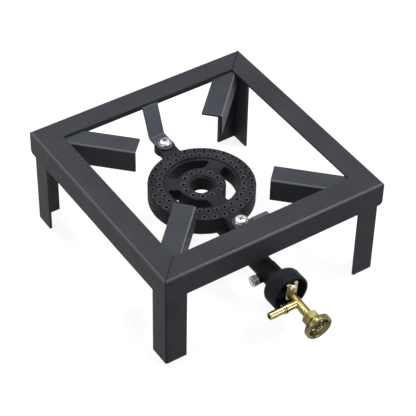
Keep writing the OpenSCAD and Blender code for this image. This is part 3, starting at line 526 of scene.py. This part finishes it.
def makeBurner(b):
    low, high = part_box("burner_casting")
    axisY = high.y / mm - b["ringRadius"] - b["screwOut"] - b["lugEnd"]
    ringTop = high.z / mm
    lugTop = ringTop - b["rise"]
    castLow = lugTop - b["depth"]
    tubeZ = castLow - b["tubeDrop"]
    ringIn = b["ringRadius"] - b["ringWidth"]
    lipRadius = ringIn + b["lip"]
    slope = b["ringRadius"] - b["rimWidth"]
    bm = bmesh.new()
    lathe(bm, [(ringIn, castLow), (b["ringRadius"], castLow), (b["ringRadius"], ringTop - b["rimFall"]),
               (slope, ringTop), (lipRadius, ringTop), (lipRadius, lugTop), (ringIn, lugTop)], b["ringSteps"])
    funnel = b["holeRadius"] + b["funnelWidth"]
    lathe(bm, [(b["holeRadius"], castLow), (b["bossRadius"], castLow),
               (b["bossRadius"], lugTop - b["bossEdge"]), (b["bossRadius"] - b["bossEdge"], lugTop),
               (funnel, lugTop), (b["holeRadius"], lugTop - b["funnelDepth"])], b["bossSteps"])
    outline = webOutline(b)
    for angle in b["webAngles"]:
        lowSide = tubeZ if angle == 270 else lugTop - b["webHeight"]
        extrude(bm, outline, lowSide, lugTop, Matrix.Rotation(math.radians(angle), 4, "Z"))
    reach = b["ringRadius"] + b["screwOut"]
    endX = math.sqrt(b["lugEye"] ** 2 - b["lugEnd"] ** 2)
    neck = b["lugWidth"] / 2
    wide = math.degrees(math.asin(neck / b["lugEye"]))
    endTurn = 360 + math.degrees(math.acos(endX / b["lugEye"]))
    eye = arcPoints(0, reach, b["lugEye"], 270 + wide, endTurn, b["eyeSteps"])
    root = ringIn + b["lugRoot"]
    lug = [(neck, root)] + eye + [(-x, y) for x, y in reversed(eye)] + [(-neck, root)]
    for angle in (0, 180):
        extrude(bm, lug, lugTop - b["lugHeight"], lugTop, Matrix.Rotation(math.radians(angle), 4, "Z"))
    mouth = low.y / mm - axisY
    shoulder = mouth + b["spigotLength"]
    alongY = Matrix.Translation((0, 0, tubeZ)) @ Matrix.Rotation(math.radians(90), 4, "X")
    start = b["holeRadius"] + b["tubeStart"]
    lathe(bm, [(0, start), (b["tubeRadius"], start), (b["tubeRadius"], -shoulder),
               (b["spigotRadius"], -shoulder), (b["spigotRadius"], -mouth), (0, -mouth)], b["tubeSteps"], alongY)
    o = meshOf("burnerCasting", bm)
    o.data.transform(Matrix.Translation((0, axisY * mm, 0)) @ Matrix.Scale(mm, 4))
    castSurface(o, b["voxel"], b["rounds"], b["lump"], b["waveSize"])

    # the tube's bore and the gas ports, cut into the cast skin
    bm = bmesh.new()
    place = Matrix.Translation((0, axisY, 0))
    boreWide = b["boreRadius"] + b["boreEdge"]
    boreEnd = -mouth + b["boreOver"]
    lathe(bm, [(0, -mouth - b["boreDepth"]), (b["boreRadius"], -mouth - b["boreDepth"]),
               (b["boreRadius"], -mouth - b["boreEdge"]), (boreWide, -mouth), (boreWide, boreEnd),
               (0, boreEnd)], b["boreSteps"], place @ alongY)
    rowIn = lipRadius + (slope - lipRadius) * 0.4
    rowOut = slope + b["rimWidth"] * 0.27
    rowBoss = (funnel + b["bossRowIn"] + b["bossRadius"] - b["bossRowOut"]) / 2
    step = 360.0 / b["ringPorts"]
    ports = []
    for k in range(b["ringPorts"]):
        ports.append((rowIn, step / 8 + step * k, ringTop))
        ports.append((rowOut, -step * 3 / 8 + step * k, ringTop - b["rimFall"] * 0.27))
    for k in range(b["bossPorts"]):
        ports.append((rowBoss, 360.0 * k / b["bossPorts"], lugTop))
    spots = []
    for radius, turn, top in ports:
        x, y = radius * math.cos(math.radians(turn)), axisY + radius * math.sin(math.radians(turn))
        top -= b["lump"] * 0.6
        spots.append((x, y, top))
        lathe(bm, [(0, top - b["portDepth"]), (b["portRadius"], top - b["portDepth"]),
                   (b["portRadius"], top - b["sinkDepth"]), (b["portRadius"] + 0.35, top - b["sinkDepth"] * 0.55),
                   (b["sinkRadius"] - 0.5, top - b["sinkDepth"] * 0.14), (b["sinkRadius"], top + 0.02),
                   (b["sinkRadius"], top + b["sinkOver"]), (0, top + b["sinkOver"])],
              b["portSteps"], Matrix.Translation((x, y, 0)))
    cutter = meshOf("cutter", bm)
    cutter.data.transform(Matrix.Scale(mm, 4))
    cutBy(o, cutter)

    # how near each corner of the mesh is to a port's rim, and how deep it lies inside a port, for painted shade
    # there
    data = o.data
    at = np.empty(len(data.vertices) * 3)
    data.vertices.foreach_get("co", at)
    at = at.reshape(-1, 3) / mm
    rim, inside = np.zeros(len(at)), np.zeros(len(at))
    for x, y, top in spots:
        away = np.hypot(at[:, 0] - x, at[:, 1] - y)
        near = (away < 5) & (at[:, 2] > top - b["portMarkDepth"])
        rim[near] = np.maximum(rim[near], np.clip((b["sinkRadius"] + 0.5 - away[near]) / 0.9, 0, 1))
        deep = near & (away < b["portRadius"] + 0.1)
        inside[deep] = np.clip((top - b["sinkDepth"] * 0.8 - at[deep, 2]) / 0.8, 0, 1)
    for label, values in (("portRim", rim), ("portInside", inside)):
        data.attributes.new(label, "FLOAT", "POINT").data.foreach_set("value", values.astype(np.float32))
    data.materials.clear()
    data.materials.append(burnerCoat)
    data.polygons.foreach_set("material_index", [0] * len(data.polygons))
    data.polygons.foreach_set("use_smooth", [True] * len(data.polygons))
    data.set_sharp_from_angle(angle=math.radians(b["sharp"]))
    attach(o, "stand")
    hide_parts("burner_casting")
    print("burner cast:", len(data.polygons), "faces")


makeBurner(burner)


# Mixer cup: the model's own solid with a cast skin, in millimetres
cup = dict(voxel=0.5, rounds=2, lump=0.05, waveSize=18.0)


def makeCup(c):
    o = bpy.data.objects.new("mixerCup", nodes["mixer_cup"].data.copy())
    bpy.context.scene.collection.objects.link(o)
    if "custom_normal" in o.data.attributes:
        o.data.attributes.remove(o.data.attributes["custom_normal"])
    weld = o.modifiers.new("joined corners", "WELD")
    weld.merge_threshold = joinGap
    castSurface(o, c["voxel"], c["rounds"], c["lump"], c["waveSize"])
    o.data.materials.clear()
    o.data.materials.append(castCoat)
    o.data.polygons.foreach_set("use_smooth", [True] * len(o.data.polygons))
    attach(o, "mixer")
    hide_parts("mixer_cup")
    print("cup cast:", len(o.data.polygons), "faces")


makeCup(cup)


# Weld beads: the model holds them as three-cornered bars, and each gets a rippled bead in its place
bead = dict(ripple=1.5, swell=0.16, fullness=0.30, slices=7, points=9, uneven=0.10, unevenGrain=260.0,
            size=0.94, crown=0.6, endLength=2.2, endSize=0.25, sharp=60.0)


def islandsOf(data):
    # the corners of each separate bar in the mesh
    bm = bmesh.new()
    bm.from_mesh(data)
    bmesh.ops.remove_doubles(bm, verts=bm.verts, dist=joinGap)
    left = set(bm.verts)
    found = []
    while left:
        group, waiting = set(), [min(left, key=lambda v: v.index)]
        while waiting:
            v = waiting.pop()
            if v not in group:
                group.add(v)
                waiting += [e.other_vert(v) for e in v.link_edges]
        left -= group
        found.append([v.co.copy() for v in sorted(group, key=lambda v: v.index)])
    bm.free()
    return found


def beadOn(bm, corners, b, seed):
    # corners: the six corners of a bar. Its square corner lies where the two plates meet.
    far = max(((p, q) for p in corners for q in corners), key=lambda pair: (pair[1] - pair[0]).length)
    ends = sorted(corners, key=lambda p: (p - far[0]).length)
    near, away = ends[:3], ends[3:]
    along = (sum(away, Vector()) - sum(near, Vector())) / 3
    length = along.length
    along.normalize()
    square = max(near, key=lambda p: -sum((p - q).length for q in near))
    legs = [q - square for q in near if q is not square]
    steps = max(6, int(length / (b["ripple"] * mm / b["slices"])))
    rings = []
    for k in range(steps + 1):
        share = k / steps
        at = length * share
        phase = (at / (b["ripple"] * mm)) % 1.0
        ridge = 1 + b["swell"] * (phase ** 0.6 - 0.6)
        ridge += b["uneven"] * noise.noise(Vector((seed * 7.3, at * b["unevenGrain"], 0.0)))
        fromEnd = max(0.0, min(at, length - at) / (b["endLength"] * mm))
        taper = min(1.0, math.sqrt(fromEnd) * (1 - b["endSize"]) + b["endSize"])
        ring = []
        for i in range(b["points"]):
            t = i / (b["points"] - 1)
            p = legs[0] * (1 - t) + legs[1] * t
            crown = (legs[0] + legs[1]) * (b["fullness"] * math.sin(math.pi * t) * 0.5)
            ring.append(bm.verts.new(square + along * at + (p * b["size"] + crown * b["crown"]) * ridge * taper))
        ring.append(bm.verts.new(square + along * at))
        rings.append(ring)
    for a, c in zip(rings, rings[1:]):
        for i in range(len(a)):
            n = (i + 1) % len(a)
            bm.faces.new((a[i], a[n], c[n], c[i]))
    bm.faces.new(rings[0])
    bm.faces.new(rings[-1])


beadNames = (("leg_welds", "legBeads"), ("support_welds", "supportBeads"), ("strap_welds", "strapBeads"))
for name, label in beadNames:
    bm = bmesh.new()
    for seed, corners in enumerate(islandsOf(nodes[name].data)):
        beadOn(bm, corners, bead, seed + len(name))
    o = meshOf(label, bm)
    o.data.materials.append(beadPaint)
    o.data.polygons.foreach_set("use_smooth", [True] * len(o.data.polygons))
    o.data.set_sharp_from_angle(angle=math.radians(bead["sharp"]))
    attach(o, "stand")
    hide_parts(name)
print("beads laid")


# Pan-head screws with a tapered cross recess, in millimetres and degrees. flat is the share of the
# head's radius that isn't domed, and recessFoot the share of the recess that is left at its bottom.
screw = dict(headRadius=8.2, headHeight=6.0, edge=1.5, rim=0.4, flat=0.42, domeSteps=12, headSteps=64,
             recess=5.2, recessDepth=3.4, recessFoot=0.42, wing=1.35, wingFoot=0.6, wingMouth=1.25,
             shank=4.0, thread=0.6, pitch=1.25, threads=3, threadSteps=48,
             edgeRound=0.15, sharp=40.0, turn=(34, 12))


def threadEnd(bm, low, s):
    # the end of the screw that comes out under the lug
    profile = [(0, low), (s["shank"] - s["thread"], low)]
    for k in range(s["threads"]):
        z = low + s["pitch"] * k
        profile += [(s["shank"], z + s["pitch"] * 0.5), (s["shank"] - s["thread"], z + s["pitch"])]
    profile.append((0, low + s["pitch"] * s["threads"]))
    lathe(bm, profile, s["threadSteps"])


def rectangle(x, y):
    return [(-x, -y), (x, -y), (x, y), (-x, y)]


def recessCutter(s, low, high):
    # two tapered wedges, square to each other
    bm = bmesh.new()
    thin = s["wing"] / 2
    under = rectangle(s["recess"] * s["recessFoot"], thin * s["wingFoot"])
    over = rectangle(s["recess"], thin * s["wingMouth"])
    for flip in (0, 90):
        spin = Matrix.Rotation(math.radians(flip), 4, "Z")
        a = [bm.verts.new(spin @ Vector((x, y, low))) for x, y in under]
        c = [bm.verts.new(spin @ Vector((x, y, high))) for x, y in over]
        bm.faces.new(a)
        bm.faces.new(c)
        for k in range(4):
            n = (k + 1) % 4
            bm.faces.new((a[k], a[n], c[n], c[k]))
    return meshOf("cross", bm)


def panScrew(label, place, s, turn, end):
    bm = bmesh.new()
    top = s["headHeight"]
    domed = 1 - s["flat"]
    dome = []
    for k in range(s["domeSteps"] + 1):
        a = math.radians(90 * k / s["domeSteps"])
        out = s["headRadius"] * (s["flat"] + domed * math.cos(a))
        dome.append((out, s["edge"] + (top - s["edge"]) * math.sin(a)))
    profile = [(0, 0), (s["headRadius"] - s["rim"], 0), (s["headRadius"], s["rim"])] + dome + [(0, top)]
    lathe(bm, profile, s["headSteps"])
    o = meshOf(label, bm)
    cross = recessCutter(s, top - s["recessDepth"], top + 1)
    cut = o.modifiers.new("recess", "BOOLEAN")
    cut.operation, cut.object, cut.solver = "DIFFERENCE", cross, "EXACT"
    cut.use_self = True
    finishMesh(o)
    bpy.data.objects.remove(cross)
    bm = bmesh.new()
    bm.from_mesh(o.data)
    threadEnd(bm, end, s)
    bmesh.ops.recalc_face_normals(bm, faces=bm.faces)
    bm.to_mesh(o.data)
    bm.free()
    o.data.transform(place @ Matrix.Rotation(math.radians(turn), 4, "Z"))
    o.data.transform(Matrix.Scale(mm, 4))
    o.data.materials.clear()
    o.data.materials.append(screwZinc)
    soft = o.modifiers.new("rounded edges", "BEVEL")
    soft.width = s["edgeRound"] * mm
    soft.segments = 2
    soft.limit_method = "ANGLE"
    soft.angle_limit = math.radians(35)
    finishMesh(o)
    o.data.polygons.foreach_set("use_smooth", [True] * len(o.data.polygons))
    o.data.set_sharp_from_angle(angle=math.radians(s["sharp"]))
    # how deep each corner of the mesh lies in the recess, below the dome: the mask for painted shade in the
    # recess
    middle, crown = place.translation * mm, s["headHeight"] - s["edge"]
    deep = []
    for v in o.data.vertices:
        away = math.hypot(v.co.x - middle.x, v.co.y - middle.y) / mm
        share = min(1.0, max(0.0, (away / s["headRadius"] - s["flat"]) / domed))
        skin = s["edge"] + crown * math.sqrt(1 - share * share)
        below = skin - (v.co.z - middle.z) / mm
        sunk = away < s["recess"] + 0.6 and below < crown
        deep.append(min(1.0, max(0.0, (below - 0.25) / 0.5)) if sunk else 0.0)
    o.data.attributes.new("inRecess", "FLOAT", "POINT").data.foreach_set("value", deep)
    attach(o, "stand")
    return o


screwLow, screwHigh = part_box("strap_screws")
seatZ = screwHigh.z / mm - screw["headHeight"]
screwPlaces = (("frontStrapScrew", screwLow.y / mm + screw["headRadius"], screw["turn"][0]),
               ("backStrapScrew", screwHigh.y / mm - screw["headRadius"], screw["turn"][1]))
for label, y, turn in screwPlaces:
    panScrew(label, Matrix.Translation((0, y, seatZ)), screw, turn, screwLow.z / mm - seatZ)
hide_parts("strap_screws")
print("screws set")


# Floor, backdrop, lamps and camera, in metres, watts and degrees
studio = dict(floorGlow=0.86, floorTone=0.23, floorSize=6.0, floorCells=24, floorDrop=0.0002, worldSoft=0.22,
              aim=(0, 0.02, 0.09),
              overhead=(0.50, -0.08, 1.25), overheadSize=0.36, overheadPower=10.5,
              top=(-0.05, 0.16, 1.35), topSize=0.24, topPower=3.0,
              back=(-0.15, 0.75, 1.10), backSize=0.42, backPower=7.0,
              left=(-1.35, 0.25, 0.75), leftSize=0.8, leftPower=3.8,
              front=(0.62, -1.18, 0.46), frontSize=0.3, frontPower=3.6)


def backdropShares(tree):
    # 1 where the camera, a reflection or a clear surface looks, else 0
    path = addNode(tree, "LightPath")
    seen = calculate(tree, "MAXIMUM", path.outputs["Is Camera Ray"], path.outputs["Is Glossy Ray"])
    return calculate(tree, "MAXIMUM", seen, path.outputs["Is Transmission Ray"])


def makeStudio(s):
    scene = bpy.context.scene
    world = bpy.data.worlds.new("white studio")
    scene.world = world
    world.use_nodes = True
    tree = world.node_tree
    tree.nodes.clear()
    out = tree.nodes.new("ShaderNodeOutputWorld")
    soft = addNode(tree, "Background", {"Color": (1, 1, 1, 1), "Strength": s["worldSoft"]})
    white = addNode(tree, "Background", {"Color": (1, 1, 1, 1), "Strength": 1.0})
    mix = addNode(tree, "MixShader", {0: backdropShares(tree), 1: soft.outputs[0], 2: white.outputs[0]})
    tree.links.new(mix.outputs[0], out.inputs["Surface"])

    bm = bmesh.new()
    bmesh.ops.create_grid(bm, x_segments=s["floorCells"], y_segments=s["floorCells"], size=s["floorSize"])
    floor = meshOf("floor", bm)
    floor.location.z = -s["floorDrop"]
    mat = bpy.data.materials.new("white floor")
    mat.use_nodes = True
    tree = mat.node_tree
    tree.nodes.clear()
    out = tree.nodes.new("ShaderNodeOutputMaterial")
    matt = addNode(tree, "BsdfDiffuse", {"Color": (s["floorTone"],) * 3 + (1,)})
    share = calculate(tree, "MULTIPLY", backdropShares(tree), s["floorGlow"])
    glow = addNode(tree, "Emission", {"Color": (1, 1, 1, 1), "Strength": share})
    both = addNode(tree, "AddShader", {0: matt.outputs[0], 1: glow.outputs[0]})
    tree.links.new(both.outputs[0], out.inputs["Surface"])
    floor.data.materials.append(mat)

    for name in ("overhead", "top", "back", "left", "front"):
        lamp = bpy.data.lights.new(name, "AREA")
        lamp.shape = "DISK"
        lamp.size = s[name + "Size"]
        lamp.energy = s[name + "Power"]
        o = bpy.data.objects.new(name, lamp)
        o.location = s[name]
        o.rotation_euler = (Vector(s["aim"]) - Vector(s[name])).to_track_quat("-Z", "Y").to_euler()
        scene.collection.objects.link(o)


# the photo's camera. lens and sensor are in millimetres.
view = dict(azimuth=-34.33, elevation=42.67, roll=1.22, distance=1.9888,
            target=(-0.0012, 0.032931, 0.064125), lens=143.94, sensor=36.0, nearest=0.05, farthest=20.0)


def makeCamera(v):
    a, e, r = (math.radians(v[key]) for key in ("azimuth", "elevation", "roll"))
    back = Vector((math.sin(a) * math.cos(e), -math.cos(a) * math.cos(e), math.sin(e)))
    right = Vector((math.cos(a), math.sin(a), 0.0))
    up = back.cross(right)
    side = right * math.cos(r) + up * math.sin(r)
    over = up * math.cos(r) - right * math.sin(r)
    turn = Matrix((side, over, back)).transposed().to_4x4()
    cam = bpy.data.cameras.new("camera")
    cam.lens = v["lens"]
    cam.sensor_width = v["sensor"]
    cam.clip_start, cam.clip_end = v["nearest"], v["farthest"]
    o = bpy.data.objects.new("camera", cam)
    o.matrix_world = Matrix.Translation(Vector(v["target"]) + back * v["distance"]) @ turn
    bpy.context.scene.collection.objects.link(o)
    bpy.context.scene.camera = o


makeStudio(studio)
makeCamera(view)
bpy.context.scene.view_settings.view_transform = "Standard"
print("studio ready")
